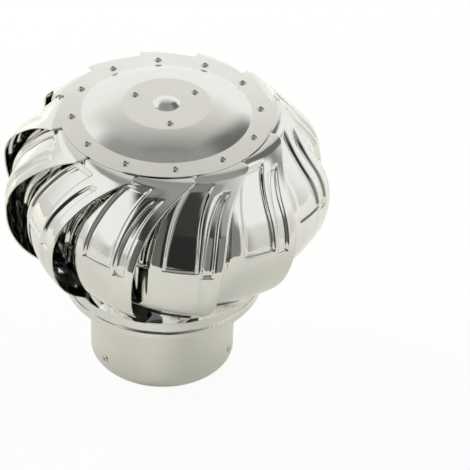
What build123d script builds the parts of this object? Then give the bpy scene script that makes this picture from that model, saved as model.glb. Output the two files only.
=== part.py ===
from build123d import *
from math import cos, exp, radians, sin, tan
import os

os.makedirs("parts", exist_ok=True)

# Wind-driven roof turbine ventilator in polished sheet steel.
# Millimetres. +Z is up along the spin axis, the origin is the centre of the neck's bottom rim,
# and -Y is the front. A vane is first made with its free edge on +X, then turned to its place.

# Fixed neck: the spigot that the duct slides over
NECK_R = 55.0
NECK_WALL = 0.9
NECK_HEIGHT = 68.0
RIM_LIP = 1.6
RIM_ROUND = 1.2

# Bracket that carries the shaft inside the neck
ARM_COUNT = 3
ARM_ANGLE = -51.0
ARM_WIDTH = 16.0
ARM_THICK = 2.0
ARM_Z = 28.0
ARM_BEND = 4.0
FOOT_RIVET_Z = 10.2
FOOT_END_Z = 3.5
FOOT_GAP = 0.1
HUB_R = 17.0

# Shaft, and what holds its foot
SHAFT_R = 6.0
FOOT_STUD_R = 5.0
FOOT_STUD_LENGTH = 14.0
BEARING_SEAT_R = 4.0
THREAD_CLEARANCE = 0.05
NUT_HEIGHT = 8.0
NUT_FLATS = 16.0
WASHER_R = 11.0
WASHER_THICK = 1.6
LOCK_NUT_HEIGHT = 5.5
LOCK_NUT_FLATS = 13.0
LOCK_WASHER_R = 6.4
LOCK_WASHER_THICK = 1.0
STUD_SPARE = 1.2
SHAFT_CHAMFER = 0.8

# Two ball bearings, one above the other
BEARING_R = 11.0
BEARING_HEIGHT = 7.0
RACE_WALL = 2.0
BALL_R = 1.95
BALL_COUNT = 7
RACEWAY_PLAY = 0.03
CAGE_WALL = 0.9
CAGE_HEIGHT = 4.6
POCKET_PLAY = 0.12
SEAT_PLAY = 0.02
BEARING_SPACING = 13.0
SPACER_WALL = 1.2

# Bearing housing under the cap
HOUSING_WALL = 3.2
HOUSING_FLANGE_R = 31.0
HOUSING_FLANGE_THICK = 2.0
HOUSING_SHOULDER = 2.0
HOUSING_TOP_DEPTH = 8.4
HOUSING_SKIRT = 5.0
RING_GROOVE_DEPTH = 0.8
RETAINER_THICK = 1.2
RETAINER_WIDTH = 2.0
RETAINER_GAP_ANGLE = 50.0

# Cap
CAP_R = 76.5
CAP_SHEET = 0.8
CAP_EDGE_Z = 214.6
FLANGE_ANGLE = 3.0
FLANGE_FOLD = 1.4
DOME_R = 61.2
DOME_SHOULDER_R = 47.0
DOME_SHOULDER_DROP = 1.9
DOME_SHARE = 0.86
PLATEAU_R = 32.0
PLATEAU_Z = 223.2
PLATEAU_ROUND = 8.0
BOSS_R = 9.8
BOSS_RISE = 3.4
BOSS_FOOT_ROUND = 1.2
BOSS_SHARE = 0.85

# Vanes
VANE_COUNT = 12
VANE_ANGLE = -41.0
VANE_SHEET = 0.8
HEAD_R = 121.0
SPIRAL = 0.45
UPPER_CORNER_Z = 173.0
UPPER_BEND_SHARE = 0.36
UNDERCUT_ANGLE = 45.0
LOWER_CORNER_Z = 126.6
LOWER_BEND_SHARE = 0.59
SHOULDER_OUT = 2.9
SHOULDER_SWIRL = 0.5
SHOULDER_ROUND = 10.0
TAB_DEPTH = 14.0
SKIN_SPARE = 2.0
VANE_BOTTOM_Z = 86.0
TAB_LEFT_ANGLE = -2.3
TAB_RIGHT_ANGLE = 25.8
EDGE_DECAY = 17.0
TUCK_ANGLE = -35.0
TUCK_DECAY = 15.0
CORNER_CUT_ANGLE = 4.6
CORNER_CUT_Z = 104.0
FIRST_SECTION_ANGLE = -38.0
LAST_SECTION_ANGLE = 30.0
SECTION_COUNT = 7
EDGE_SHARES = (0.0, 0.02, 0.063, 0.142, 0.27, 0.5)

# Pressed recesses of a vane: bottom angles of the two long sides, sweep at the top, drops
PRESS_DEPTH = 2.4
PRESS_ANGLE = -9.0
PRESS_TILT_ANGLE = 28.0
PRESS_CENTRE_DROP = 44.0
RECESS_CORNER = 2.2
RECESSES = {
    "wide_panel": {"left": -21.0, "right": -8.6, "sweep": 17.0, "top": 3.2, "bottom": 54.0},
    "edge_groove": {"left": -7.0, "right": -2.7, "sweep": 24.0, "top": 8.0, "bottom": 58.0},
    "tucked_groove": {"left": -29.5, "right": -25.0, "sweep": 20.0, "top": 17.0, "bottom": 54.5},
}
RECESS_DECAY = 15.0

# Bottom ring: a spun bowl with a rolled ledge, its rim cut into one tooth for each vane
RING_SHEET = 0.8
RING_R = 75.6
RING_RUNNING_GAP = 2.5
RING_BOTTOM_Z = 56.0
RING_SKIRT_TOP_Z = 60.0
RING_SKIRT_ROUND = 1.5
RING_SHOULDER_Z = 64.0
RING_SHOULDER_ROUND = 3.5
RING_LEDGE_Z = 71.2
RING_LEDGE = 1.5
LEDGE_EDGE_ROUND = 1.0
LEDGE_FOOT_ROUND = 0.35
RING_WALL_TOP_Z = 79.0
TOOTH_SHEET = 0.6
TOOTH_ROOT = 2.0
TOOTH_ROOT_RISE = 0.7
TOOTH_SECTIONS = 5
TOOTH_BEND_Z = 85.3
TOOTH_TOP_Z = 96.5
TOOTH_LEFT_ANGLE = -28.0
TOOTH_RIGHT_ANGLE = -5.5
SHEET_GAP = 0.3

# Rivets
RIVET_R = 1.6
RIVET_HEAD_R = 3.1
RIVET_HEAD_HEIGHT = 1.3
RIVET_TAIL_R = 2.3
RIVET_TAIL_HEIGHT = 1.4
RIVET_PLAY = 0.05
RIVET_EASE = 0.05
CAP_RIVET_R = 68.0
RIVET_PHASE_ANGLE = 5.9
RING_RIVET_DROP = 122.0
HOUSING_RIVET_COUNT = 3
HOUSING_RIVET_R = 24.8

# Angles are given from the front, -Y, towards +X
FRONT = -90.0


def spun(face):
    """A ring or shell turned from a profile drawn in radius and height."""
    return revolve(Plane.XZ * face, axis=Axis.Z)


def turned(shape, angle):
    return Rot(0, 0, angle) * shape


def disc(radius, low, high):
    return Pos(0, 0, (low + high) / 2) * Cylinder(radius, high - low)


def tube(outer, inner, low, high):
    return disc(outer, low, high) - disc(inner, low - 1, high + 1)


def inset(points, radii, depth):
    """Moves an open outline to its left-hand side by depth, corner by corner, and its radii with it."""
    corners = [Vector(*p) for p in points]
    steps = [(b - a).normalized() for a, b in zip(corners, corners[1:])]
    normals = [Vector(-s.Y, s.X) for s in steps]
    moved = [corners[0] + normals[0] * depth]
    new_radii = []
    for i, radius in enumerate(radii):
        before, after = normals[i], normals[i + 1]
        half = (before + after) * (1 / (1 + before.dot(after)))
        moved.append(corners[i + 1] + half * depth)
        turn = steps[i].X * steps[i + 1].Y - steps[i].Y * steps[i + 1].X
        new_radii.append(radius - depth if turn > 0 else radius + depth)
    moved.append(corners[-1] + normals[-1] * depth)
    return [(p.X, p.Y) for p in moved], new_radii


def sheet_band(points, radii, thickness):
    """The cut face of a bent sheet: its outer side follows points, its inner side lies to their left."""
    inner, inner_radii = inset(points, radii, thickness)
    outer_side = FilletPolyline(*points, radius=radii)
    inner_side = FilletPolyline(*inner, radius=inner_radii)
    ends = Line(points[0], inner[0]) + Line(points[-1], inner[-1])
    return make_face(outer_side + inner_side + ends)


def rivet(grip):
    """A domed rivet with the underside of its head at z 0 and its formed end below the grip."""
    crown_r = (RIVET_HEAD_R**2 + RIVET_HEAD_HEIGHT**2) / (2 * RIVET_HEAD_HEIGHT)
    crown = RadiusArc((0, RIVET_HEAD_HEIGHT), (RIVET_HEAD_R, 0), crown_r)
    body = Polyline(
        (0, RIVET_HEAD_HEIGHT),
        (0, -grip - RIVET_TAIL_HEIGHT),
        (RIVET_R, -grip - RIVET_TAIL_HEIGHT),
        (RIVET_TAIL_R, -grip - RIVET_TAIL_HEIGHT / 2),
        (RIVET_TAIL_R, -grip),
        (RIVET_R, -grip),
        (RIVET_R, 0),
        (RIVET_HEAD_R, 0),
    )
    return spun(make_face(crown + body))


def rivet_hole(depth):
    return Cylinder(RIVET_R + RIVET_PLAY, depth)


def ring_of(shape, count, first):
    """Copies of a shape about the spin axis, the first at an angle from the front."""
    return [turned(shape, FRONT + first + 360 / count * i) for i in range(count)]


def hex_nut(flats, height, bore):
    nut = extrude(RegularPolygon(flats / 2, 6, major_radius=False), height)
    crown = Pos(0, 0, height / 2) * Cylinder(flats / 2 * 1.13, height)
    crown = chamfer(crown.edges().filter_by(GeomType.CIRCLE), height * 0.12)
    return (nut & crown) - Cylinder(bore, 3 * height)


def bend(before, corner, after, share):
    """The bend radius whose tangent length is a share of the shorter side beside the corner."""
    arriving, leaving = Vector(*corner) - Vector(*before), Vector(*after) - Vector(*corner)
    half_turn = radians(arriving.get_angle(leaving) / 2)
    return share * min(arriving.length, leaving.length) / tan(half_turn)


# Cap: flat plateau with a centre boss, domed rise, and a nearly flat riveted flange
cap_slope = tan(radians(FLANGE_ANGLE))
cap_outline = [
    (CAP_R, CAP_EDGE_Z),
    (DOME_R, CAP_EDGE_Z + (CAP_R - DOME_R) * cap_slope),
    (DOME_SHOULDER_R, PLATEAU_Z - DOME_SHOULDER_DROP),
    (PLATEAU_R, PLATEAU_Z),
    (BOSS_R, PLATEAU_Z),
    (BOSS_R / 2, PLATEAU_Z + BOSS_RISE),
    (0, PLATEAU_Z + BOSS_RISE),
]
cap_radii = [
    FLANGE_FOLD,
    bend(*cap_outline[1:4], DOME_SHARE),
    PLATEAU_ROUND,
    BOSS_FOOT_ROUND,
    bend(*cap_outline[4:7], BOSS_SHARE),
]


def cap_seat(radius):
    """Where the rivet heads of the flange sit, and the way they point."""
    height = CAP_EDGE_Z + (CAP_R - radius) * cap_slope
    return Plane(
        origin=(radius, 0, height),
        x_dir=(0, 1, 0),
        z_dir=(sin(radians(FLANGE_ANGLE)), 0, cos(radians(FLANGE_ANGLE))),
    )


cap_rivet_seat = cap_seat(CAP_RIVET_R)
cap = spun(sheet_band(cap_outline, cap_radii, CAP_SHEET))
for hole in ring_of(cap_rivet_seat * rivet_hole(4 * CAP_SHEET), VANE_COUNT, RIVET_PHASE_ANGLE):
    cap -= hole
housing_rivet_seat = Plane((HOUSING_RIVET_R, 0, PLATEAU_Z))
for hole in ring_of(housing_rivet_seat * rivet_hole(4 * CAP_SHEET), HOUSING_RIVET_COUNT, RIVET_PHASE_ANGLE):
    cap -= hole
cap_rivet_grip = CAP_SHEET + SHEET_GAP / 3 + VANE_SHEET

# Vane skin: a barrel whose radius grows with the angle, so that the free edge stands proud
vane_seat_drop = (CAP_SHEET + SHEET_GAP / 3) / cos(radians(FLANGE_ANGLE))
vane_seat_z = CAP_EDGE_Z - vane_seat_drop
tab_inner_r = CAP_R - TAB_DEPTH
undercut = tan(radians(UNDERCUT_ANGLE))


def swirl(angle):
    return SPIRAL * angle


def skin_outline(angle, spare=0.0):
    """Meridian of the vane's outer side at an angle, from under the cap to its bottom edge."""
    shoulder = CAP_R + SHOULDER_OUT + SHOULDER_SWIRL * swirl(angle)
    start = tab_inner_r - SKIN_SPARE - spare
    belly = HEAD_R + swirl(angle)
    bottom_z = VANE_BOTTOM_Z - SKIN_SPARE - spare
    points = [
        (belly - (LOWER_CORNER_Z - bottom_z) * undercut, bottom_z),
        (belly, LOWER_CORNER_Z),
        (belly, UPPER_CORNER_Z),
        (shoulder, vane_seat_z - (shoulder - CAP_R) * cap_slope),
        (start, vane_seat_z - (start - CAP_R) * cap_slope),
    ]
    lower_bend = bend(*points[:3], LOWER_BEND_SHARE)
    upper_bend = bend(*points[1:4], UPPER_BEND_SHARE)
    return points, [lower_bend, upper_bend, SHOULDER_ROUND]


def under_skin(depth, spare=0.0):
    """Everything from the core out to depth below the vane's outer side."""
    core = NECK_R / 2 - spare
    span = LAST_SECTION_ANGLE - FIRST_SECTION_ANGLE + 2 * spare
    sections = []
    for i in range(SECTION_COUNT):
        angle = FIRST_SECTION_ANGLE - spare + span * i / (SECTION_COUNT - 1)
        points, radii = inset(*skin_outline(angle, spare), depth)
        closing = Polyline(points[-1], (core, points[-1][1]), (core, points[0][1]), points[0])
        face = make_face(FilletPolyline(*points, radius=radii) + closing)
        sections.append(turned(Plane.XZ * face, angle))
    return loft(sections)


def on_skin(angle, drop):
    """The point of the skin that lies drop below the cap's edge, on the meridian at angle."""
    points, radii = skin_outline(angle)
    meridian = FilletPolyline(*points, radius=radii)
    low, high = 0.0, 1.0
    for _ in range(26):
        middle = (low + high) / 2
        if (meridian @ middle).Y < vane_seat_z - drop:
            low = middle
        else:
            high = middle
    place = meridian @ high
    return Vector(place.X * cos(radians(angle)), place.X * sin(radians(angle)), place.Y)


def on_flange(angle, radius):
    height = vane_seat_z - (radius - CAP_R) * cap_slope
    return Vector(radius * cos(radians(angle)), radius * sin(radians(angle)), height)


press_angle = radians(PRESS_ANGLE)
press_tilt = radians(PRESS_TILT_ANGLE)
press = Plane(
    origin=on_skin(PRESS_ANGLE, PRESS_CENTRE_DROP),
    x_dir=(-sin(press_angle), cos(press_angle), 0),
    z_dir=(cos(press_angle) * cos(press_tilt), sin(press_angle) * cos(press_tilt), sin(press_tilt)),
)


def flat(point):
    """A point of the skin as the press sees it."""
    local = press.to_local_coords(point)
    return (local.X, local.Y)


def swept_side(base, sweep, top, bottom):
    """A long side that runs up the vane and sweeps forward under the cap, as two tangent arcs."""
    drops = [bottom, top + 0.6 * (bottom - top), top + 0.25 * (bottom - top), top]
    points = [flat(on_skin(base + sweep * exp(-drop / RECESS_DECAY), drop)) for drop in drops]
    lower = ThreePointArc(*points[:3])
    return lower + TangentArc(points[2], points[3], tangent=lower % 1)


def recess_outline(left, right, sweep, top, bottom):
    left_side = swept_side(left, sweep, top, bottom)
    right_side = swept_side(right, sweep, top, bottom)
    low, high = Line(left_side @ 0, right_side @ 0), Line(left_side @ 1, right_side @ 1)
    face = make_face(left_side + right_side + low + high)
    corners = [face.vertices().sort_by_distance(end)[0] for end in (low @ 0, low @ 1, high @ 0, high @ 1)]
    return fillet(corners, RECESS_CORNER)


def blank_outline():
    """The vane as cut from the sheet, before it is bent: tab, swept free edge, tucked edge."""
    bottom_drop = vane_seat_z - VANE_BOTTOM_Z
    drops = [bottom_drop * share for share in EDGE_SHARES]
    right = [flat(on_skin(TAB_RIGHT_ANGLE * exp(-drop / EDGE_DECAY), drop)) for drop in drops]
    right += [flat(on_skin(0, vane_seat_z - CORNER_CUT_Z)), flat(on_skin(-CORNER_CUT_ANGLE, bottom_drop))]
    tuck_sweep = TAB_LEFT_ANGLE - TUCK_ANGLE
    left = [
        flat(on_skin(TUCK_ANGLE + tuck_sweep * exp(-drop / TUCK_DECAY), drop))
        for drop in drops + [bottom_drop]
    ]
    middle_angle = (TUCK_ANGLE - CORNER_CUT_ANGLE) / 2
    bottom = ThreePointArc(right[-1], flat(on_skin(middle_angle, bottom_drop)), left[-1])
    inner_right = flat(on_flange(TAB_RIGHT_ANGLE, tab_inner_r))
    inner_left = flat(on_flange(TAB_LEFT_ANGLE, tab_inner_r))
    inner_middle = flat(on_flange((TAB_LEFT_ANGLE + TAB_RIGHT_ANGLE) / 2, tab_inner_r))
    edges = Spline(*right) + bottom + Spline(*left)
    edges += Line(right[0], inner_right) + Line(left[0], inner_left)
    edges += ThreePointArc(inner_right, inner_middle, inner_left)
    return make_face(edges)


def pressed_vane():
    """One vane: a curved sheet with three pressed recesses, cut to its blank outline."""
    reach_out = HEAD_R / 3
    reach_in = HEAD_R * 0.62
    pan_reach_in = HEAD_R * 0.37
    sheet = under_skin(0) - under_skin(PRESS_DEPTH + VANE_SHEET, SKIN_SPARE)
    hollow = under_skin(VANE_SHEET, SKIN_SPARE)
    outside_floor = under_skin(PRESS_DEPTH, SKIN_SPARE)
    for recess in RECESSES.values():
        outline = recess_outline(**recess)
        punch = extrude(press * outline, reach_out) + extrude(press * outline, -pan_reach_in)
        wall = offset(outline, VANE_SHEET)
        die = extrude(press * wall, reach_out) + extrude(press * wall, -pan_reach_in)
        sheet -= punch - outside_floor
        hollow -= die
    sheet -= hollow
    blank = extrude(press * blank_outline(), reach_out) + extrude(press * blank_outline(), -reach_in)
    return sheet & blank


vane = pressed_vane()
cap_rivet_angle = (RIVET_PHASE_ANGLE - VANE_ANGLE) % (360 / VANE_COUNT)
vane -= turned(cap_rivet_seat * rivet_hole(8 * VANE_SHEET), cap_rivet_angle)
ring_rivet_angle = cap_rivet_angle - 360 / VANE_COUNT
ring_rivet_point = on_skin(ring_rivet_angle, RING_RIVET_DROP)
ring_rivet_r = (ring_rivet_point.X**2 + ring_rivet_point.Y**2) ** 0.5
swirl_slope = SPIRAL / radians(1) / ring_rivet_r
skin_normal = Vector(1, -swirl_slope, -undercut).normalized()
tooth_rise = (SHEET_GAP + TOOTH_SHEET) / cos(radians(UNDERCUT_ANGLE)) * skin_normal.X
ring_rivet_seat = Plane(
    origin=Vector(ring_rivet_r, 0, ring_rivet_point.Z) + skin_normal * tooth_rise,
    x_dir=(swirl_slope, 1, 0),
    z_dir=skin_normal,
)
vane -= turned(ring_rivet_seat * rivet_hole(8 * VANE_SHEET), ring_rivet_angle)

# Bottom ring
ring_inner_r = NECK_R + RING_RUNNING_GAP
ring_wall_r = RING_R - RING_LEDGE
ring_outline = [
    (ring_inner_r + RING_SHEET, RING_BOTTOM_Z),
    (ring_inner_r + RING_SHEET, RING_SKIRT_TOP_Z),
    (RING_R, RING_SHOULDER_Z),
    (RING_R, RING_LEDGE_Z),
    (ring_wall_r, RING_LEDGE_Z),
    (ring_wall_r, RING_WALL_TOP_Z),
]
ring_radii = [RING_SKIRT_ROUND, RING_SHOULDER_ROUND, LEDGE_EDGE_ROUND, LEDGE_FOOT_ROUND]
bowl = spun(sheet_band(ring_outline, ring_radii, RING_SHEET))


def tooth_section(angle):
    """One tooth of the rim in section: rooted in the bowl's wall, then lying along the vane."""
    root_r = ring_wall_r - (RING_SHEET - TOOTH_SHEET) / 2
    stand_off = (SHEET_GAP + TOOTH_SHEET) / cos(radians(UNDERCUT_ANGLE))
    bend_r = HEAD_R + swirl(angle) + stand_off - (LOWER_CORNER_Z - TOOTH_BEND_Z) * undercut
    points = [
        (root_r, RING_WALL_TOP_Z - TOOTH_ROOT),
        (root_r, RING_WALL_TOP_Z + TOOTH_ROOT_RISE),
        (bend_r, TOOTH_BEND_Z),
        (bend_r + (TOOTH_TOP_Z - TOOTH_BEND_Z) * undercut, TOOTH_TOP_Z),
    ]
    inner = inset(points, [0, 0], TOOTH_SHEET)[0]
    return turned(Plane.XZ * make_face(Polyline(*points, *inner[::-1], close=True)), angle)


tooth_step = (TOOTH_RIGHT_ANGLE - TOOTH_LEFT_ANGLE) / (TOOTH_SECTIONS - 1)
tooth = loft([tooth_section(TOOTH_LEFT_ANGLE + tooth_step * i) for i in range(TOOTH_SECTIONS)])
tooth -= turned(ring_rivet_seat * rivet_hole(8 * TOOTH_SHEET), ring_rivet_angle)
bottom_ring = bowl
for copy in ring_of(tooth, VANE_COUNT, VANE_ANGLE):
    bottom_ring += copy
ring_rivet_grip = tooth_rise + VANE_SHEET + RIVET_EASE

# Neck: a plain rolled spigot with a turned-in rim, riveted through to the bracket's feet
neck = spun(sheet_band([(NECK_R - RIM_LIP, 0), (NECK_R, 0), (NECK_R, NECK_HEIGHT)], [RIM_ROUND], NECK_WALL))
foot_rivet_seat = Plane(origin=(NECK_R, 0, FOOT_RIVET_Z), x_dir=(0, 1, 0), z_dir=(1, 0, 0))
foot_holes = ring_of(foot_rivet_seat * rivet_hole(4 * (NECK_WALL + ARM_THICK)), ARM_COUNT, ARM_ANGLE)
for hole in foot_holes:
    neck -= hole

# Bracket: three strips on a round hub, their feet bent down along the neck's wall
foot_r = NECK_R - NECK_WALL - FOOT_GAP
foot_outline = [(foot_r, FOOT_END_Z), (foot_r, ARM_Z), (0, ARM_Z)]
foot_dish = spun(sheet_band(foot_outline, [ARM_BEND], ARM_THICK))
strip = Box(NECK_R, ARM_WIDTH, NECK_HEIGHT, align=(Align.MIN, Align.CENTER, Align.MIN))
bracket = disc(HUB_R, ARM_Z - ARM_THICK, ARM_Z)
for copy in ring_of(foot_dish & strip, ARM_COUNT, ARM_ANGLE):
    bracket += copy
for hole in foot_holes:
    bracket -= hole
bracket -= disc(FOOT_STUD_R + THREAD_CLEARANCE, 0, NECK_HEIGHT)
bracket_grip = NECK_R - ((foot_r - ARM_THICK) ** 2 - RIVET_TAIL_R**2) ** 0.5

# Bearing stack, worked down from the plateau
plateau_under_z = PLATEAU_Z - CAP_SHEET
upper_top = plateau_under_z - HOUSING_TOP_DEPTH
upper_bottom = upper_top - BEARING_HEIGHT
lower_top = upper_bottom - BEARING_SPACING
lower_bottom = lower_top - BEARING_HEIGHT
housing_bottom = lower_bottom - HOUSING_SKIRT
pitch_r = (BEARING_SEAT_R + BEARING_R) / 2


def races(low):
    """Inner and outer race of one bearing, with a round groove each for the balls."""
    middle = low + BEARING_HEIGHT / 2
    groove = Pos(0, 0, middle) * Torus(pitch_r, BALL_R + RACEWAY_PLAY)
    inner = tube(BEARING_SEAT_R + SEAT_PLAY + RACE_WALL, BEARING_SEAT_R + SEAT_PLAY, low, low + BEARING_HEIGHT)
    outer = tube(BEARING_R, BEARING_R - RACE_WALL, low, low + BEARING_HEIGHT)
    return inner - groove, outer - groove


def balls(low):
    ball = Pos(pitch_r, 0, low + BEARING_HEIGHT / 2) * Sphere(BALL_R)
    return ring_of(ball, BALL_COUNT, 0)


def cage(low):
    """A plain ring between the races, pierced by one pocket for each ball."""
    middle = low + BEARING_HEIGHT / 2
    ring = tube(pitch_r + CAGE_WALL / 2, pitch_r - CAGE_WALL / 2, middle - CAGE_HEIGHT / 2, middle + CAGE_HEIGHT / 2)
    pocket = Pos(pitch_r, 0, middle) * Rot(0, 90, 0) * Cylinder(BALL_R + POCKET_PLAY, 6)
    for hole in ring_of(pocket, BALL_COUNT, 0):
        ring -= hole
    return ring


upper_inner_race, upper_outer_race = races(upper_bottom)
lower_inner_race, lower_outer_race = races(lower_bottom)
inner_spacer = tube(
    BEARING_SEAT_R + SEAT_PLAY + SPACER_WALL, BEARING_SEAT_R + SEAT_PLAY, lower_top, upper_bottom
)
outer_spacer = tube(BEARING_R, BEARING_R - SPACER_WALL, lower_top, upper_bottom)

# Housing: a flanged cup, bored from below, shut by a retaining ring
bore_r = BEARING_R + SEAT_PLAY
housing = disc(bore_r + HOUSING_WALL, housing_bottom, plateau_under_z)
housing += disc(HOUSING_FLANGE_R, plateau_under_z - HOUSING_FLANGE_THICK, plateau_under_z)
housing -= disc(bore_r, housing_bottom - 1, upper_top)
housing -= disc(bore_r - HOUSING_SHOULDER, upper_top - 1, plateau_under_z + 1)
groove_r = bore_r + RING_GROOVE_DEPTH
housing -= disc(groove_r, lower_bottom - RETAINER_THICK - SEAT_PLAY, lower_bottom)
for hole in ring_of(housing_rivet_seat * rivet_hole(12), HOUSING_RIVET_COUNT, RIVET_PHASE_ANGLE):
    housing -= hole
retainer_r = groove_r - SEAT_PLAY
retaining_ring = tube(
    retainer_r, bore_r - RETAINER_WIDTH, lower_bottom - RETAINER_THICK - SEAT_PLAY / 2, lower_bottom - SEAT_PLAY / 2
)
gap_half = radians(RETAINER_GAP_ANGLE / 2)
gap_reach = 2 * retainer_r
gap_wedge = make_face(Polyline(
    (0, 0), (gap_reach, -gap_reach * tan(gap_half)), (gap_reach, gap_reach * tan(gap_half)), (0, 0)
))
retaining_ring -= Pos(0, 0, housing_bottom) * extrude(gap_wedge, HOUSING_SKIRT + BEARING_HEIGHT)
housing_grip = CAP_SHEET + HOUSING_FLANGE_THICK

# Shaft: stepped rod, stud below through the bracket, seat above for the bearings
lock_nut_bottom = upper_top + LOCK_WASHER_THICK
shaft_top = lock_nut_bottom + LOCK_NUT_HEIGHT + STUD_SPARE
nut_top = ARM_Z - ARM_THICK - WASHER_THICK
shaft = disc(SHAFT_R, ARM_Z + WASHER_THICK, lower_bottom)
shaft += disc(BEARING_SEAT_R, lower_bottom, shaft_top)
shaft += disc(FOOT_STUD_R, nut_top - NUT_HEIGHT - STUD_SPARE, ARM_Z + WASHER_THICK)
shaft = chamfer(
    shaft.edges().filter_by(GeomType.CIRCLE).sort_by(Axis.Z)[0], SHAFT_CHAMFER
)
shaft = chamfer(
    shaft.edges().filter_by(GeomType.CIRCLE).sort_by(Axis.Z)[-1], SHAFT_CHAMFER
)
stud_hole = FOOT_STUD_R + THREAD_CLEARANCE
shaft_washers = [
    tube(WASHER_R, stud_hole, ARM_Z, ARM_Z + WASHER_THICK),
    tube(WASHER_R, stud_hole, nut_top, nut_top + WASHER_THICK),
]
foot_nut = Pos(0, 0, nut_top - NUT_HEIGHT) * hex_nut(NUT_FLATS, NUT_HEIGHT, stud_hole)
lock_hole = BEARING_SEAT_R + THREAD_CLEARANCE
lock_washer = tube(LOCK_WASHER_R, lock_hole, upper_top, lock_nut_bottom)
lock_nut = Pos(0, 0, lock_nut_bottom) * hex_nut(LOCK_NUT_FLATS, LOCK_NUT_HEIGHT, lock_hole)

# Fasteners in groups, one node for each kind
cap_rivets = ring_of(cap_rivet_seat * rivet(cap_rivet_grip), VANE_COUNT, RIVET_PHASE_ANGLE)
ring_rivets = ring_of(ring_rivet_seat * rivet(ring_rivet_grip), VANE_COUNT, RIVET_PHASE_ANGLE)
housing_rivets = ring_of(housing_rivet_seat * rivet(housing_grip), HOUSING_RIVET_COUNT, RIVET_PHASE_ANGLE)
bracket_rivets = ring_of(foot_rivet_seat * rivet(bracket_grip), ARM_COUNT, ARM_ANGLE)

nodes = {
    "neck": neck,
    "bracket": bracket,
    "bracket_rivets": bracket_rivets,
    "shaft": shaft,
    "shaft_washers": shaft_washers,
    "foot_nut": foot_nut,
    "lower_inner_race": lower_inner_race,
    "upper_inner_race": upper_inner_race,
    "inner_spacer": inner_spacer,
    "lock_washer": lock_washer,
    "lock_nut": lock_nut,
    "lower_outer_race": lower_outer_race,
    "upper_outer_race": upper_outer_race,
    "outer_spacer": outer_spacer,
    "retaining_ring": retaining_ring,
    "bearing_housing": housing,
    "housing_rivets": housing_rivets,
    "lower_balls": balls(lower_bottom),
    "lower_cage": cage(lower_bottom),
    "upper_balls": balls(upper_bottom),
    "upper_cage": cage(upper_bottom),
    "cap": cap,
    "cap_rivets": cap_rivets,
    "bottom_ring": bottom_ring,
    "ring_rivets": ring_rivets,
}
for number, placed in enumerate(ring_of(vane, VANE_COUNT, VANE_ANGLE), start=1):
    nodes[f"vane_{number:02d}"] = placed

for name, shape in nodes.items():
    solids = shape if isinstance(shape, list) else shape.solids()
    export_step(Compound(children=[solid for item in solids for solid in item.solids()]), f"parts/{name}.step")
    print(name, len(solids))
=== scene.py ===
from math import cos, degrees, exp, pi, radians, sin, tan
import bpy
from mathutils import Matrix, Vector


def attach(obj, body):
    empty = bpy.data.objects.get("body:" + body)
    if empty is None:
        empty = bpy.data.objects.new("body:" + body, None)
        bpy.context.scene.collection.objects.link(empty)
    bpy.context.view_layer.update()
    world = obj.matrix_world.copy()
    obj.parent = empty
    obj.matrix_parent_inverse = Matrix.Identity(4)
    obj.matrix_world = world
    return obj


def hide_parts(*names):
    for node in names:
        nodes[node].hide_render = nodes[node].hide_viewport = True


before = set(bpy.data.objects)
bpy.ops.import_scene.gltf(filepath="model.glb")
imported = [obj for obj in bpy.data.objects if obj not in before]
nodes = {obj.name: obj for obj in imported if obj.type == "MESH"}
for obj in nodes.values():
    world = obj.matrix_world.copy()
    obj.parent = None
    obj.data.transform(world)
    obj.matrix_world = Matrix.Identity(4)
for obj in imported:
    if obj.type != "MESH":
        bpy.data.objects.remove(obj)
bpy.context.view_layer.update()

# Camera: a long lens above the front, looking down at the cap.
# Its place was worked out from the neck's rim, the cap's circles and the rivets.
image_width = 470
focal_pixels = 2176.4
look_down = radians(38.25)
roll = 0.01998
camera_distance = 1.6263
aim = Vector((0.00149, 0.0, 0.10363))
picture_centre_x = 166.0
sensor = 36.0
rightward = Vector((1, 0, 0))
forward = Vector((0, cos(look_down), -sin(look_down)))
upward = Vector((0, sin(look_down), cos(look_down)))
side = rightward * cos(roll) + upward * sin(roll)
top = upward * cos(roll) - rightward * sin(roll)
lens = bpy.data.cameras.new("lens")
lens.sensor_width = sensor
lens.lens = focal_pixels * sensor / image_width
lens.shift_x = (image_width / 2 - picture_centre_x) / image_width
lens.clip_start, lens.clip_end = 0.05, 50
camera = bpy.data.objects.new("camera", lens)
bpy.context.scene.collection.objects.link(camera)
camera.matrix_world = Matrix.Translation(aim - forward * camera_distance) @ Matrix(
    (side, top, -forward)
).transposed().to_4x4()
bpy.context.scene.camera = camera
bpy.context.scene.view_settings.view_transform = "Standard"

# World: a plain white studio. The camera, polished metal and glass see it at full white,
# and everything else is lit by it a little.
studio = bpy.data.worlds.new("studio")
bpy.context.scene.world = studio
studio.use_nodes = True
tree = studio.node_tree
tree.nodes.clear()
air = tree.nodes.new("ShaderNodeOutputWorld")
seen = tree.nodes.new("ShaderNodeBackground")
seen.inputs["Color"].default_value = (1, 1, 1, 1)
seen.inputs["Strength"].default_value = 1.0
fill = tree.nodes.new("ShaderNodeBackground")
fill.inputs["Color"].default_value = (1, 0.99, 0.97, 1)
fill.inputs["Strength"].default_value = 0.45
pick = tree.nodes.new("ShaderNodeMixShader")
rays = tree.nodes.new("ShaderNodeLightPath")
camera_or_gloss = tree.nodes.new("ShaderNodeMath")
camera_or_gloss.operation = "MAXIMUM"
or_through_glass = tree.nodes.new("ShaderNodeMath")
or_through_glass.operation = "MAXIMUM"
tree.links.new(rays.outputs["Is Camera Ray"], camera_or_gloss.inputs[0])
tree.links.new(rays.outputs["Is Glossy Ray"], camera_or_gloss.inputs[1])
tree.links.new(camera_or_gloss.outputs[0], or_through_glass.inputs[0])
tree.links.new(rays.outputs["Is Transmission Ray"], or_through_glass.inputs[1])
tree.links.new(or_through_glass.outputs[0], pick.inputs[0])
tree.links.new(fill.outputs[0], pick.inputs[1])
tree.links.new(seen.outputs[0], pick.inputs[2])
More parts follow.
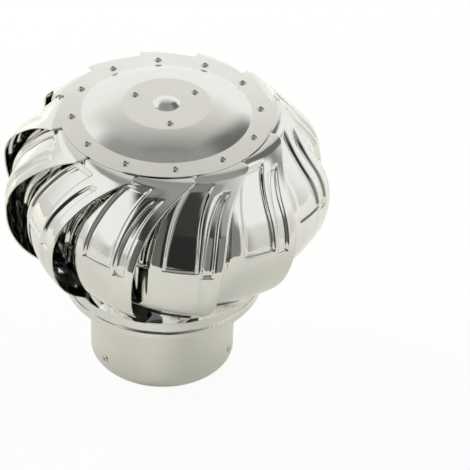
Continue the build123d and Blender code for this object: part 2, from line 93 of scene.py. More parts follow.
tree.links.new(pick.outputs[0], air.inputs[0])

# Table: a pale top that the neck stands on. The camera sees it as white, with a faint shadow left,
# and the metal sees it as the light grey that it really is.
table_left, table_right, table_front, table_back = -1.3, 1.3, -0.46, 2.0
table_z = -0.0004
table_whiteness = 0.93
table_mesh = bpy.data.meshes.new("table_top")
table_mesh.from_pydata(
    [
        (table_left, table_front, table_z),
        (table_right, table_front, table_z),
        (table_right, table_back, table_z),
        (table_left, table_back, table_z),
    ],
    [],
    [(0, 1, 2, 3)],
)
table_top = bpy.data.objects.new("table_top", table_mesh)
bpy.context.scene.collection.objects.link(table_top)
paint = bpy.data.materials.new("table_white")
paint.use_nodes = True
tree = paint.node_tree
tree.nodes.clear()
out = tree.nodes.new("ShaderNodeOutputMaterial")
lit = tree.nodes.new("ShaderNodeBsdfDiffuse")
lit.inputs["Color"].default_value = (0.84, 0.84, 0.80, 1)
bright = tree.nodes.new("ShaderNodeEmission")
bright.inputs["Color"].default_value = (1, 1, 1, 1)
bright.inputs["Strength"].default_value = 1.0
pick = tree.nodes.new("ShaderNodeMixShader")
rays = tree.nodes.new("ShaderNodeLightPath")
whitened = tree.nodes.new("ShaderNodeMath")
whitened.operation = "MULTIPLY"
whitened.inputs[1].default_value = table_whiteness
tree.links.new(rays.outputs["Is Camera Ray"], whitened.inputs[0])
tree.links.new(whitened.outputs[0], pick.inputs[0])
tree.links.new(lit.outputs[0], pick.inputs[1])
tree.links.new(bright.outputs[0], pick.inputs[2])
tree.links.new(pick.outputs[0], out.inputs[0])
table_mesh.materials.append(paint)

# Table inside the neck: a grey disc just above the table top, within the neck's bore. It stands
# for the table in the ventilator's own shade, where the top's white would shine up through it.
shade_radius, shade_z, shade_corners = 0.0532, -0.0002, 64
shade_mesh = bpy.data.meshes.new("table_in_neck")
shade_mesh.from_pydata(
    [
        (
            shade_radius * cos(2 * pi * corner / shade_corners),
            shade_radius * sin(2 * pi * corner / shade_corners),
            shade_z,
        )
        for corner in range(shade_corners)
    ],
    [],
    [tuple(range(shade_corners))],
)
table_in_neck = bpy.data.objects.new("table_in_neck", shade_mesh)
bpy.context.scene.collection.objects.link(table_in_neck)
dim_paint = bpy.data.materials.new("table_in_shade")
dim_paint.use_nodes = True
dim_shader = dim_paint.node_tree.nodes["Principled BSDF"]
dim_shader.inputs["Base Color"].default_value = (0.5, 0.49, 0.47, 1)
dim_shader.inputs["Roughness"].default_value = 0.9
shade_mesh.materials.append(dim_paint)

# Studio boards: grey and dark boards that stand round the table out of view.
# Only polished metal sees them; without them a mirror finish would show nothing but white.
STUDIO_Z = 0.12
BOARD_STEPS = 32
board_paint = bpy.data.materials.new("board_paint")
board_paint.use_nodes = True
tree = board_paint.node_tree
tree.nodes.clear()
out = tree.nodes.new("ShaderNodeOutputMaterial")
glow = tree.nodes.new("ShaderNodeEmission")
clear = tree.nodes.new("ShaderNodeBsdfTransparent")
pick = tree.nodes.new("ShaderNodeMixShader")
shade = tree.nodes.new("ShaderNodeAttribute")
shade.attribute_name = "grey"
cover = tree.nodes.new("ShaderNodeAttribute")
cover.attribute_name = "cover"
tint = tree.nodes.new("ShaderNodeVectorMath")
tint.operation = "SCALE"
tint.inputs[0].default_value = (1.0, 0.985, 0.96)
tree.links.new(shade.outputs["Fac"], tint.inputs["Scale"])
tree.links.new(tint.outputs[0], glow.inputs["Color"])
tree.links.new(cover.outputs["Fac"], pick.inputs[0])
tree.links.new(clear.outputs[0], pick.inputs[1])
tree.links.new(glow.outputs[0], pick.inputs[2])
tree.links.new(pick.outputs[0], out.inputs[0])


def soft(share):
    """A share from 0 to 1, eased at both ends."""
    share = max(0.0, min(1.0, share))
    return share * share * (3 - 2 * share)


def board(name, azimuth, elevation, greys, fades, distance):
    """A curved board between two azimuths and two elevations, in degrees from the front.

    Its shade runs from the first grey at the bottom to the second at the top, and its sides
    fade out over so many degrees at the left, right, bottom and top. A nearer board hides
    those behind it.
    """
    verts, faces, shades, covers = [], [], [], []
    for row in range(BOARD_STEPS + 1):
        rise = elevation[0] + (elevation[1] - elevation[0]) * row / BOARD_STEPS
        for column in range(BOARD_STEPS + 1):
            turn = azimuth[0] + (azimuth[1] - azimuth[0]) * column / BOARD_STEPS
            verts.append((
                distance * cos(radians(rise)) * sin(radians(turn)),
                -distance * cos(radians(rise)) * cos(radians(turn)),
                distance * sin(radians(rise)) + STUDIO_Z,
            ))
            shades.append(greys[0] + (greys[1] - greys[0]) * row / BOARD_STEPS)
            sides = (turn - azimuth[0], azimuth[1] - turn, rise - elevation[0], elevation[1] - rise)
            cover_here = 1.0
            for reach, width in zip(sides, fades):
                cover_here *= soft(reach / width) if width else 1.0
            covers.append(cover_here)
    for row in range(BOARD_STEPS):
        for column in range(BOARD_STEPS):
            first = row * (BOARD_STEPS + 1) + column
            faces.append((first, first + 1, first + BOARD_STEPS + 2, first + BOARD_STEPS + 1))
    mesh = bpy.data.meshes.new(name)
    mesh.from_pydata(verts, [], faces)
    mesh.attributes.new("grey", "FLOAT", "POINT").data.foreach_set("value", shades)
    mesh.attributes.new("cover", "FLOAT", "POINT").data.foreach_set("value", covers)
    mesh.materials.append(board_paint)
    made = bpy.data.objects.new(name, mesh)
    bpy.context.scene.collection.objects.link(made)
    made.visible_camera = False
    made.visible_diffuse = False
    made.visible_shadow = False
    made.visible_transmission = False


board("right_back_board", (88, 156), (22, 68), (0.18, 0.15), (14, 14, 12, 14), 2.5)
board("shoulder_board", (-70, 26), (44, 57), (0.050, 0.040), (12, 8, 4, 6), 2.55)
board("front_black_board", (-24, 9), (-32, 54), (0.026, 0.030), (6, 6, 8, 4), 2.6)
board("front_grey_board", (-47, -14), (-34, 50), (0.16, 0.13), (6, 6, 8, 4), 2.65)
board("front_right_board", (2, 44), (-34, 56), (0.25, 0.24), (6, 12, 10, 10), 2.7)
board("front_left_board", (-76, -38), (-34, 16), (0.58, 0.62), (18, 8, 10, 12), 2.8)
board("right_board", (26, 106), (-32, 36), (0.62, 0.85), (14, 16, 10, 14), 2.9)
board("left_board", (-142, -58), (-32, 26), (0.62, 0.82), (18, 18, 10, 14), 3.0)
board("back_board", (138, 222), (26, 74), (0.97, 0.24), (18, 18, 10, 0), 3.1)
board("ceiling_board", (-180, 180), (44, 90), (0.36, 0.32), (0, 0, 12, 0), 3.3)

# Lamps: two square soft boxes above the left and right and a wide, weak one at the back.
# They light the table and what is dull on the ventilator, and the metal doesn't mirror them.
def soft_box(name, place, width, height, power):
    lamp = bpy.data.lights.new(name, "AREA")
    lamp.shape = "RECTANGLE"
    lamp.size, lamp.size_y = width, height
    lamp.energy = power
    lamp.color = (1, 0.985, 0.96)
    made = bpy.data.objects.new(name, lamp)
    bpy.context.scene.collection.objects.link(made)
    made.visible_glossy = False
    made.location = place
    aim_at = Vector((0, 0, STUDIO_Z)) - Vector(place)
    made.rotation_mode = "QUATERNION"
    made.rotation_quaternion = aim_at.to_track_quat("-Z", "Y")


soft_box("lamp_left", (-1.6, 0.9, 1.5), 1.0, 1.0, 26)
soft_box("lamp_right", (1.7, 0.4, 1.4), 1.0, 1.0, 18)
soft_box("lamp_back", (-0.2, 1.9, 0.9), 1.6, 0.9, 16)

# Polishing marks: the fine scratches, faint smears and slight waves of polished thin sheet.
# One group serves every sheet piece, and each gives it its own scale and depth.
marks = bpy.data.node_groups.new("polishing_marks", "ShaderNodeTree")
for socket_name, default in (
    ("Wave Scale", 22.0),
    ("Wave Depth", 0.00010),
    ("Scratch Scale", 900.0),
    ("Scratch Depth", 0.000002),
    ("Roughness", 0.07),
    ("Smear", 0.06),
):
    made = marks.interface.new_socket(name=socket_name, in_out="INPUT", socket_type="NodeSocketFloat")
    made.default_value = default
for socket_name in ("Shade", "Roughness", "Height"):
    marks.interface.new_socket(name=socket_name, in_out="OUTPUT", socket_type="NodeSocketFloat")
given = marks.nodes.new("NodeGroupInput")
result = marks.nodes.new("NodeGroupOutput")
place = marks.nodes.new("ShaderNodeTexCoord")
wave = marks.nodes.new("ShaderNodeTexNoise")
wave.inputs["Detail"].default_value = 1.5
wave.inputs["Roughness"].default_value = 0.4
scratch_run = marks.nodes.new("ShaderNodeMapping")
scratch_run.inputs["Scale"].default_value = (1.0, 1.0, 0.08)
scratch = marks.nodes.new("ShaderNodeTexNoise")
scratch.inputs["Detail"].default_value = 3.0
smear = marks.nodes.new("ShaderNodeTexNoise")
smear.inputs["Scale"].default_value = 45.0
smear.inputs["Detail"].default_value = 4.0
smear.inputs["Distortion"].default_value = 0.6
marks.links.new(place.outputs["Object"], wave.inputs["Vector"])
marks.links.new(place.outputs["Object"], scratch_run.inputs["Vector"])
marks.links.new(scratch_run.outputs[0], scratch.inputs["Vector"])
marks.links.new(place.outputs["Object"], smear.inputs["Vector"])
marks.links.new(given.outputs["Wave Scale"], wave.inputs["Scale"])
marks.links.new(given.outputs["Scratch Scale"], scratch.inputs["Scale"])


def arithmetic(tree, operation, first, second):
    """One Math node; each input is a socket or a number."""
    step = tree.nodes.new("ShaderNodeMath")
    step.operation = operation
    for slot_index, value in enumerate((first, second)):
        if isinstance(value, (int, float)):
            step.inputs[slot_index].default_value = value
        else:
            tree.links.new(value, step.inputs[slot_index])
    return step.outputs[0]


wave_height = arithmetic(marks, "MULTIPLY", wave.outputs["Fac"], given.outputs["Wave Depth"])
scratch_height = arithmetic(marks, "MULTIPLY", scratch.outputs["Fac"], given.outputs["Scratch Depth"])
smear_amount = arithmetic(marks, "MULTIPLY", smear.outputs["Fac"], given.outputs["Smear"])
height_here = arithmetic(marks, "ADD", wave_height, scratch_height)
roughness_here = arithmetic(marks, "ADD", smear_amount, given.outputs["Roughness"])
shade_here = arithmetic(marks, "SUBTRACT", 1.0, smear_amount)
marks.links.new(height_here, result.inputs["Height"])
marks.links.new(roughness_here, result.inputs["Roughness"])
marks.links.new(shade_here, result.inputs["Shade"])


def sheet_steel(name, colour, **amounts):
    """Polished stainless sheet, with this piece's own amounts of waves, scratches and smears."""
    made = bpy.data.materials.new(name)
    made.use_nodes = True
    tree = made.node_tree
    shader = tree.nodes["Principled BSDF"]
    shader.inputs["Metallic"].default_value = 1.0
    finish = tree.nodes.new("ShaderNodeGroup")
    finish.node_tree = marks
    for amount, value in amounts.items():
        finish.inputs[amount.replace("_", " ").title()].default_value = value
    tint = tree.nodes.new("ShaderNodeVectorMath")
    tint.operation = "SCALE"
    tint.inputs[0].default_value = colour
    bump = tree.nodes.new("ShaderNodeBump")
    bump.inputs["Strength"].default_value = 1.0
    bump.inputs["Distance"].default_value = 1.0
    tree.links.new(finish.outputs["Shade"], tint.inputs["Scale"])
    tree.links.new(tint.outputs[0], shader.inputs["Base Color"])
    tree.links.new(finish.outputs["Roughness"], shader.inputs["Roughness"])
    tree.links.new(finish.outputs["Height"], bump.inputs["Height"])
    tree.links.new(bump.outputs[0], shader.inputs["Normal"])
    return made


def dress(node_names, made):
    """Gives a finish to pieces that keep the shape of their solids."""
    for node_name in node_names:
        piece = nodes[node_name]
        piece.data.materials.clear()
        piece.data.materials.append(made)


# Vanes: twelve curved blades pressed from thin polished sheet, each with three recesses, riveted
# under the cap and to the ring's teeth. One is shaped as a fine grid whose lines follow the
# presses, and the others are turned copies.
VANE_COUNT = 12
VANE_ANGLE = -41.0
VANE_SHEET = 0.0008
VANE_BOTTOM_Z = 0.086
HEAD_RADIUS = 0.121
SPIRAL = 0.00045
LOWER_CORNER_Z = 0.1266
LOWER_BEND_SHARE = 0.59
UPPER_CORNER_Z = 0.173
UPPER_BEND_SHARE = 0.36
CAP_RADIUS = 0.0765
CAP_EDGE_Z = 0.2146
CAP_SHEET_AND_GAP = 0.0009
FLANGE_ANGLE = radians(3.0)
FLANGE_SLOPE = tan(FLANGE_ANGLE)
SEAT_Z = CAP_EDGE_Z - CAP_SHEET_AND_GAP / cos(FLANGE_ANGLE)
SHOULDER_OUT = 0.0029
SHOULDER_SWIRL = 0.5
SHOULDER_SETBACK = 0.0038
TAB_DEPTH = 0.014
PRESS_DEPTH = 0.0024
SKIN_INSET = 0.00013
presses = (
    # left and right side in degrees, forward sweep, top and bottom below the cap's edge
    (-29.5, -25.0, 20.0, 0.0170, 0.0545),
    (-19.6, -7.9, 17.0, 0.0032, 0.0540),
    (-6.8, -2.7, 24.0, 0.0080, 0.0580),
)


def meridian_corners(angle):
    """The vane's section at an angle, bottom first: corners in radius and height, and the length
    that each corner's bend takes from the straight runs beside it. The undercut leans in at 45
    degrees, so it goes in as far as it goes down."""
    belly = HEAD_RADIUS + SPIRAL * angle
    belly_height = UPPER_CORNER_Z - LOWER_CORNER_Z
    shoulder = CAP_RADIUS + SHOULDER_OUT + SHOULDER_SWIRL * SPIRAL * angle
    inner = CAP_RADIUS - TAB_DEPTH
    return (
        ((belly - (LOWER_CORNER_Z - VANE_BOTTOM_Z), VANE_BOTTOM_Z), 0),
        ((belly, LOWER_CORNER_Z), LOWER_BEND_SHARE * belly_height),
        ((belly, UPPER_CORNER_Z), UPPER_BEND_SHARE * belly_height),
        ((shoulder, SEAT_Z - (shoulder - CAP_RADIUS) * FLANGE_SLOPE), SHOULDER_SETBACK),
        ((inner, SEAT_Z - (inner - CAP_RADIUS) * FLANGE_SLOPE), 0),
    )


def meridian_runs(angle):
    """The same section with its bends rounded, as straight runs and arcs in turn."""
    corners = [(Vector(place), setback) for place, setback in meridian_corners(angle)]
    runs = []
    start = corners[0][0]
    for before, (corner, setback), after in zip(corners, corners[1:], corners[2:]):
        arriving = (corner - before[0]).normalized()
        leaving = (after[0] - corner).normalized()
        turn = arriving.angle(leaving)
        first, last = corner - arriving * setback, corner + leaving * setback
        inward = Vector((-arriving.y, arriving.x))
        centre = first + inward * setback / tan(turn / 2)
        runs.append(("straight", start, first))
        runs.append(("arc", centre, first - centre, turn))
        start = last
    runs.append(("straight", start, corners[-1][0]))
    return runs


def on_run(run, share):
    """The point at a share of the way along a straight run or an arc."""
    if run[0] == "straight":
        return run[1].lerp(run[2], share)
    swing = run[3] * share
    arm = run[2]
    return run[1] + Vector((
        arm.x * cos(swing) - arm.y * sin(swing),
        arm.x * sin(swing) + arm.y * cos(swing),
    ))


def run_length(run):
    return (run[2] - run[1]).length if run[0] == "straight" else run[2].length * run[3]


MIDDLE_ANGLE = -9.0
PLAIN_ROW, FINE_ROW, FINE_REACH = 0.0022, 0.00055, 0.0035


def grid_rows():
    """Where the grid's rows cross the middle section: close together at the ends of the presses."""
    rows = []
    for index, run in enumerate(meridian_runs(MIDDLE_ANGLE)):
        length = run_length(run)
        walked = 0.0
        while walked < length:
            drop = SEAT_Z - on_run(run, walked / length).y
            near_end = any(abs(drop - end) < FINE_REACH for press in presses for end in press[3:])
            rows.append((index, walked / length))
            walked += FINE_ROW if near_end else PLAIN_ROW
    rows.append((index, 1.0))
    return rows


PRESS_DECAY = 0.015
TUCK_ANGLE, TUCK_SWEEP = -35.0, 32.7
FREE_SWEEP, FREE_DECAY = 25.8, 0.017
CORNER_CUT_ANGLE, CORNER_CUT_Z = 4.6, 0.104


def swept(base, sweep, drop, decay=PRESS_DECAY):
    """The angle of an edge that is swept forward at the top, at a drop below the cap's edge."""
    return base + sweep * exp(-max(drop, 0.0) / decay)


def tucked_edge(drop):
    return swept(TUCK_ANGLE, TUCK_SWEEP, drop)


def free_edge(drop):
    """The edge that stands proud of the next vane, with its bottom corner cut away."""
    corner_share = (drop - (SEAT_Z - CORNER_CUT_Z)) / (CORNER_CUT_Z - VANE_BOTTOM_Z)
    return swept(0.0, FREE_SWEEP, drop, FREE_DECAY) - CORNER_CUT_ANGLE * max(0.0, min(1.0, corner_share))


WALL_OUT, WALL_IN = 0.0007, 0.0017
WALL_STEPS = 5
FLAT_STEPS = (6, 2, 4, 8, 1, 4, 4)
LEAST_STEP = 0.04


def grid_columns(drop, radius):
    """The angles of the grid's columns at one height, closely spaced over each pressed wall."""
    degree = radius * pi / 180
    stops = []
    for left, right, sweep, *_ in presses:
        for base, inside in ((left, 1), (right, -1)):
            line = swept(base, sweep, drop)
            low, high = sorted((line - inside * WALL_OUT / degree, line + inside * WALL_IN / degree))
            stops.append([low + (high - low) * number / WALL_STEPS for number in range(WALL_STEPS + 1)])
    stops.append([free_edge(drop)])
    angles = [tucked_edge(drop)]
    for stop, steps in zip(stops, FLAT_STEPS):
        start = angles[-1]
        angles += [start + (stop[0] - start) * number / steps for number in range(1, steps)]
        angles += stop
    for index in range(1, len(angles)):
        angles[index] = max(angles[index], angles[index - 1] + LEAST_STEP)
    limit = free_edge(drop)
    for index in range(len(angles) - 1, 0, -1):
        angles[index] = min(angles[index], limit)
        limit -= LEAST_STEP
    return angles


def eased(distance, width):
    """Rises from 0 to 1 over a width, as sheet does over the edge of a die."""
    share = max(0.0, min(1.0, distance / width))
    return 0.5 - 0.5 * cos(pi * share)


TOP_RUN, END_RUN, END_OUT = 0.0035, 0.0019, 0.0004
FOLD_DEPTH, FOLD_LENGTH = 0.32, 0.045


def pressed(angle, drop, radius):
    """How deep the presses push the sheet in at a place: 0 on a rib, 1 on a recess's floor.

    Below its end each recess runs out in a shallow fold that fades towards the bottom edge.
    """
    degree = radius * pi / 180
    depth = 0.0
    for left, right, sweep, top_end, bottom_end in presses:
        from_left = (angle - swept(left, sweep, drop)) * degree + WALL_OUT
        from_right = (swept(right, sweep, drop) - angle) * degree + WALL_OUT
        across = eased(from_left, WALL_OUT + WALL_IN) * eased(from_right, WALL_OUT + WALL_IN)
        along = eased(drop - top_end, TOP_RUN) * eased(bottom_end - drop + END_OUT, END_RUN)
        past_end = eased(drop - bottom_end + END_OUT, END_RUN)
        fold = FOLD_DEPTH * past_end * (1 - eased(drop - bottom_end, FOLD_LENGTH))
        depth = max(depth, across * max(along, fold))
    return depth


def in_space(flat, angle):
    """A point of the section at an angle, stood up in its place round the spin axis."""
    turn = radians(angle)
    return Vector((flat.x * cos(turn), flat.x * sin(turn), flat.y))


TURN_NUDGE, SHARE_NUDGE = 0.2, 0.002
rows = grid_rows()
grid = []
for index, share in rows:
    middle = on_run(meridian_runs(MIDDLE_ANGLE)[index], share)
    for angle in grid_columns(max(SEAT_Z - middle.y, 0.0), middle.x):
        run = meridian_runs(angle)[index]
        flat = on_run(run, share)
        here = in_space(flat, angle)
        beside_run = meridian_runs(angle + TURN_NUDGE)[index]
        beside = in_space(on_run(beside_run, share), angle + TURN_NUDGE)
        upwards = 1 if share < 0.5 else -1
        above = in_space(on_run(run, share + upwards * SHARE_NUDGE), angle)
        outward = (beside - here).cross((above - here) * upwards).normalized()
        sunk = SKIN_INSET + PRESS_DEPTH * pressed(angle, max(SEAT_Z - flat.y, 0.0), flat.x)
        grid.append(here - outward * sunk)
column_count = len(grid) // len(rows)
vane_faces = []
for row in range(len(rows) - 1):
    for column in range(column_count - 1):
        corner = row * column_count + column
        vane_faces.append((corner, corner + 1, corner + column_count + 1, corner + column_count))

vane_steel = sheet_steel(
    "vane_steel", (0.85, 0.85, 0.81), wave_scale=34.0, wave_depth=0.00022, roughness=0.04, smear=0.07
)
for number in range(VANE_COUNT):
    turned = Matrix.Rotation(radians(-90 + VANE_ANGLE + 360 / VANE_COUNT * number), 4, "Z")
    mesh = bpy.data.meshes.new(f"vane_sheet_{number + 1:02d}")
    mesh.from_pydata([turned @ place for place in grid], [], vane_faces)
    mesh.polygons.foreach_set("use_smooth", [True] * len(mesh.polygons))
    mesh.materials.append(vane_steel)
    piece = bpy.data.objects.new(mesh.name, mesh)
    bpy.context.scene.collection.objects.link(piece)
    thickness = piece.modifiers.new("sheet", "SOLIDIFY")
    thickness.thickness = VANE_SHEET
    thickness.offset = -1.0
    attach(piece, "rotor")
    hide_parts(f"vane_{number + 1:02d}")

# Cap: a disc spun from sheet, domed up to a flat top with a boss, riveted to the vanes' tabs.
# Its finish is smoother than the vanes' and a little more satin.
cap_steel = sheet_steel(
    "cap_steel", (0.86, 0.86, 0.815), wave_scale=14.0, wave_depth=0.00012, roughness=0.10, smear=0.10
)
dress(["cap"], cap_steel)

# Bottom ring: a bowl spun from sheet, with a rolled ledge and twelve teeth that the vanes' feet
# are riveted to. It is bright like the vanes.
ring_steel = sheet_steel(
    "ring_steel", (0.86, 0.86, 0.815), wave_scale=40.0, wave_depth=0.00012, roughness=0.08, smear=0.08
)
dress(["bottom_ring"], ring_steel)

# Neck: the duct's spigot, rolled from sheet with its rim turned in, and riveted to the bracket's
# three feet. Its finish is duller and evenly rubbed.
neck_steel = sheet_steel(
    "neck_steel", (0.82, 0.82, 0.77), wave_scale=9.0, wave_depth=0.00025, roughness=0.22, smear=0.03
)
dress(["neck"], neck_steel)

# Rivets: stainless blind rivets in four sets, through the cap's flange, the housing, the ring's
# teeth and the bracket's feet. Each domed head keeps the hole of its drawn pin, with the pin's
# broken end inside, and the far end is squeezed out into a bulge.
RIVET_HEAD = 0.0031
RIVET_CROWN = 0.0013
RIVET_TAIL = 0.0014
RIVET_SIDES = 32
RIVET_STATIONS = 50
rivet_outline = (
    # share of the way, radius over the head's, and the rise of the crown, the grip and the tail
    (0.00, 0.00, 0.62, 0.0, 0.0),
    (0.06, 0.20, 0.56, 0.0, 0.0),
    (0.10, 0.22, 0.10, 0.0, 0.0),
    (0.14, 0.35, 0.10, 0.0, 0.0),
    (0.20, 0.37, 0.88, 0.0, 0.0),
    (0.26, 0.44, 1.00, 0.0, 0.0),
    (0.36, 0.62, 0.86, 0.0, 0.0),
    (0.46, 0.80, 0.60, 0.0, 0.0),
    (0.56, 0.95, 0.26, 0.0, 0.0),
    (0.60, 1.00, 0.08, 0.0, 0.0),
    (0.62, 1.00, 0.00, 0.0, 0.0),
    (0.70, 0.52, 0.00, 0.0, 0.0),
    (0.80, 0.52, 0.00, 1.0, 0.0),
    (0.84, 0.74, 0.00, 1.0, 0.0),
    (0.92, 0.74, 0.00, 1.0, 0.5),
    (0.96, 0.52, 0.00, 1.0, 1.0),
    (1.00, 0.00, 0.00, 1.0, 1.0),
)
rivet_tree = bpy.data.node_groups.new("blind_rivets", "GeometryNodeTree")
rivet_tree.interface.new_socket(name="Rivets", in_out="OUTPUT", socket_type="NodeSocketGeometry")
for socket_name, kind in (
    ("Count", "Int"), ("First Angle", "Float"), ("Seat", "Vector"), ("Lean", "Vector"),
    ("Head Radius", "Float"), ("Crown Height", "Float"), ("Grip", "Float"), ("Tail Height", "Float"),
    ("Metal", "Material"),
):
    rivet_tree.interface.new_socket(name=socket_name, in_out="INPUT", socket_type="NodeSocket" + kind)
given = rivet_tree.nodes.new("NodeGroupInput")
blank = rivet_tree.nodes.new("GeometryNodeMeshGrid")
blank.inputs["Vertices X"].default_value = RIVET_SIDES + 1
blank.inputs["Vertices Y"].default_value = RIVET_STATIONS + 1
cell = rivet_tree.nodes.new("ShaderNodeSeparateXYZ")
rivet_tree.links.new(rivet_tree.nodes.new("GeometryNodeInputPosition").outputs[0], cell.inputs[0])
way = arithmetic(rivet_tree, "ADD", cell.outputs["Y"], 0.5)
turn = arithmetic(rivet_tree, "MULTIPLY", cell.outputs["X"], -2 * pi)


def along_outline(column):
    """A curve node that reads one column of the outline at a share of the way along it."""
    curve = rivet_tree.nodes.new("ShaderNodeFloatCurve")
    points = curve.mapping.curves[0].points
    for number, station in enumerate(rivet_outline):
        if number in (0, len(rivet_outline) - 1):
            point = points[0 if number == 0 else -1]
            point.location = (station[0], station[column])
        else:
            point = points.new(station[0], station[column])
        point.handle_type = "VECTOR"
    curve.mapping.update()
    rivet_tree.links.new(way, curve.inputs["Value"])
    return curve.outputs["Value"]


girth = arithmetic(rivet_tree, "MULTIPLY", along_outline(1), given.outputs["Head Radius"])
crown = arithmetic(rivet_tree, "MULTIPLY", along_outline(2), given.outputs["Crown Height"])
shank = arithmetic(rivet_tree, "MULTIPLY", along_outline(3), given.outputs["Grip"])
tail = arithmetic(rivet_tree, "MULTIPLY", along_outline(4), given.outputs["Tail Height"])
turned_to = rivet_tree.nodes.new("ShaderNodeCombineXYZ")
across = arithmetic(rivet_tree, "MULTIPLY", girth, arithmetic(rivet_tree, "COSINE", turn, 0.0))
deep = arithmetic(rivet_tree, "MULTIPLY", girth, arithmetic(rivet_tree, "SINE", turn, 0.0))
above_shank = arithmetic(rivet_tree, "SUBTRACT", crown, shank)
height = arithmetic(rivet_tree, "SUBTRACT", above_shank, tail)
for socket, value in zip(turned_to.inputs, (across, deep, height)):
    rivet_tree.links.new(value, socket)
spun = rivet_tree.nodes.new("GeometryNodeSetPosition")
closed = rivet_tree.nodes.new("GeometryNodeMergeByDistance")
closed.inputs["Distance"].default_value = 0.000002
smooth = rivet_tree.nodes.new("GeometryNodeSetShadeSmooth")
lean = rivet_tree.nodes.new("FunctionNodeEulerToRotation")
seated = rivet_tree.nodes.new("GeometryNodeTransform")
spots = rivet_tree.nodes.new("GeometryNodePoints")
spacing = arithmetic(rivet_tree, "DIVIDE", 2 * pi, given.outputs["Count"])
rivet_number = rivet_tree.nodes.new("GeometryNodeInputIndex").outputs[0]
past_first = arithmetic(rivet_tree, "MULTIPLY", rivet_number, spacing)
aim_angle = arithmetic(rivet_tree, "ADD", past_first, given.outputs["First Angle"])
facing = rivet_tree.nodes.new("FunctionNodeAxisAngleToRotation")
facing.inputs["Axis"].default_value = (0, 0, 1)
copies = rivet_tree.nodes.new("GeometryNodeInstanceOnPoints")
real = rivet_tree.nodes.new("GeometryNodeRealizeInstances")
coated = rivet_tree.nodes.new("GeometryNodeSetMaterial")
result = rivet_tree.nodes.new("NodeGroupOutput")
for start, end in (
    (blank.outputs["Mesh"], spun.inputs["Geometry"]),
    (turned_to.outputs[0], spun.inputs["Position"]),
    (spun.outputs[0], closed.inputs["Geometry"]),
    (closed.outputs[0], smooth.inputs["Geometry"]),
    (smooth.outputs[0], seated.inputs["Geometry"]),
    (given.outputs["Lean"], lean.inputs[0]),
    (given.outputs["Seat"], seated.inputs["Translation"]),
    (lean.outputs[0], seated.inputs["Rotation"]),
    (given.outputs["Count"], spots.inputs["Count"]),
    (spots.outputs[0], copies.inputs["Points"]),
    (seated.outputs[0], copies.inputs["Instance"]),
    (aim_angle, facing.inputs["Angle"]),
    (facing.outputs[0], copies.inputs["Rotation"]),
    (copies.outputs[0], real.inputs["Geometry"]),
    (real.outputs[0], coated.inputs["Geometry"]),
    (given.outputs["Metal"], coated.inputs["Material"]),
    (coated.outputs[0], result.inputs["Rivets"]),
):
    rivet_tree.links.new(start, end)

# The rivets' steel is a darker grey than the sheet's. Part of that is their own duller steel, and part
# is painted shade and reflection for their dark sides and pin holes.
rivet_steel = sheet_steel(
    "rivet_steel", (0.66, 0.66, 0.62), wave_scale=300.0, wave_depth=0.00002, roughness=0.09, smear=0.08
)


def rivet_set(node_name, body, count, first, seat, normal, grip):
    """One set of rivets about the spin axis, from where the first one's head sits when it is turned
    to the X axis, and the way that its head points."""
    mesh = bpy.data.meshes.new(node_name + "_looks")
    piece = bpy.data.objects.new(mesh.name, mesh)
    bpy.context.scene.collection.objects.link(piece)
    maker = piece.modifiers.new("rivets", "NODES")
    maker.node_group = rivet_tree
    amounts = {
        "Count": count,
        "First Angle": radians(-90 + first),
        "Seat": tuple(seat),
        "Lean": tuple(Vector(normal).to_track_quat("Z", "X").to_euler()),
        "Head Radius": RIVET_HEAD,
        "Crown Height": RIVET_CROWN,
        "Grip": grip,
        "Tail Height": RIVET_TAIL,
        "Metal": rivet_steel,
    }
    for socket in rivet_tree.interface.items_tree:
        if socket.in_out == "INPUT":
            maker[socket.identifier] = amounts[socket.name]
    view = bpy.context.evaluated_depsgraph_get()
    made = bpy.data.meshes.new_from_object(piece.evaluated_get(view))
    piece.modifiers.remove(maker)
    piece.data = made
    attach(piece, body)
    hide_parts(node_name)


RIVET_PHASE = 5.9
CAP_RIVET_RADIUS = 0.068
HOUSING_RIVET_RADIUS, PLATEAU_Z = 0.0248, 0.2232
RING_RIVET_DROP = 0.122
TOOTH_SHEET_AND_GAP = 0.0009
NECK_RADIUS, FOOT_RIVET_Z, ARM_ANGLE = 0.055, 0.0102, -51.0
# A grip is the thickness of what a set holds together.
CAP_GRIP, HOUSING_GRIP, RING_GRIP, FOOT_GRIP = 0.0017, 0.0028, 0.00175, 0.00305

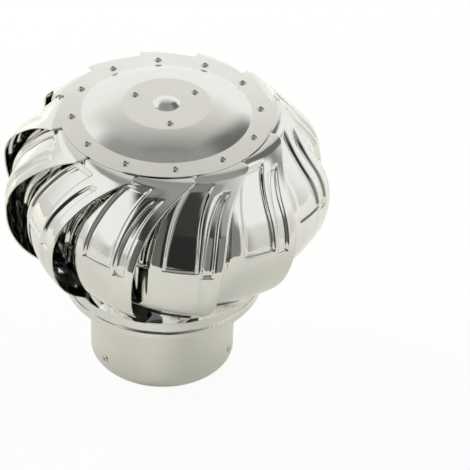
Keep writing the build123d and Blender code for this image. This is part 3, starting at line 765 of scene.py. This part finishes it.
cap_seat = (CAP_RIVET_RADIUS, 0, CAP_EDGE_Z + (CAP_RADIUS - CAP_RIVET_RADIUS) * FLANGE_SLOPE)
rivet_set("cap_rivets", "rotor", VANE_COUNT, RIVET_PHASE, cap_seat, (FLANGE_SLOPE, 0, 1), CAP_GRIP)
housing_seat = (HOUSING_RIVET_RADIUS, 0, PLATEAU_Z)
rivet_set("housing_rivets", "rotor", 3, RIVET_PHASE, housing_seat, (0, 0, 1), HOUSING_GRIP)
tooth_angle = (RIVET_PHASE - VANE_ANGLE) % (360 / VANE_COUNT) - 360 / VANE_COUNT
tooth_z = SEAT_Z - RING_RIVET_DROP
tooth_radius = HEAD_RADIUS + SPIRAL * tooth_angle - (LOWER_CORNER_Z - tooth_z)
tooth_normal = Vector((1, -degrees(SPIRAL) / tooth_radius, -1)).normalized()
tooth_rise = TOOTH_SHEET_AND_GAP * 2**0.5 * tooth_normal.x
tooth_seat = Vector((tooth_radius, 0, tooth_z)) + tooth_normal * tooth_rise
rivet_set("ring_rivets", "rotor", VANE_COUNT, RIVET_PHASE, tooth_seat, tooth_normal, RING_GRIP)
foot_seat = (NECK_RADIUS, 0, FOOT_RIVET_Z)
rivet_set("bracket_rivets", "base", 3, ARM_ANGLE, foot_seat, (1, 0, 0), FOOT_GRIP)

# Bracket, shaft, nuts, washers, spacers and retaining ring: zinc-plated steel, grey and satin.
# The bracket's feet are riveted inside the neck, and the rotor turns on the shaft in its hub.
plated_steel = sheet_steel(
    "plated_steel", (0.62, 0.63, 0.64), wave_scale=60.0, wave_depth=0.00005, roughness=0.30, smear=0.15
)
dress(
    ["bracket", "shaft", "shaft_washers", "foot_nut", "lock_washer", "lock_nut",
     "inner_spacer", "outer_spacer", "retaining_ring"],
    plated_steel,
)

# Bearing housing: a turned aluminium casting, riveted under the cap's flat top, that holds both
# bearings' outer races. Faint tool marks cover it.
housing_alloy = sheet_steel(
    "housing_alloy", (0.66, 0.67, 0.68), wave_scale=120.0, wave_depth=0.00006, roughness=0.34, smear=0.16
)
dress(["bearing_housing"], housing_alloy)

# Bearings: two small ball bearings on the shaft, one above the other, with ground races and
# balls and a brass cage in each.
bearing_steel = sheet_steel(
    "bearing_steel", (0.66, 0.66, 0.67), wave_scale=80.0, wave_depth=0.00001, roughness=0.08, smear=0.05
)
dress(
    ["lower_inner_race", "upper_inner_race", "lower_outer_race", "upper_outer_race",
     "lower_balls", "upper_balls"],
    bearing_steel,
)
cage_brass = sheet_steel(
    "cage_brass", (0.72, 0.56, 0.26), wave_scale=90.0, wave_depth=0.00003, roughness=0.25, smear=0.12
)
dress(["lower_cage", "upper_cage"], cage_brass)
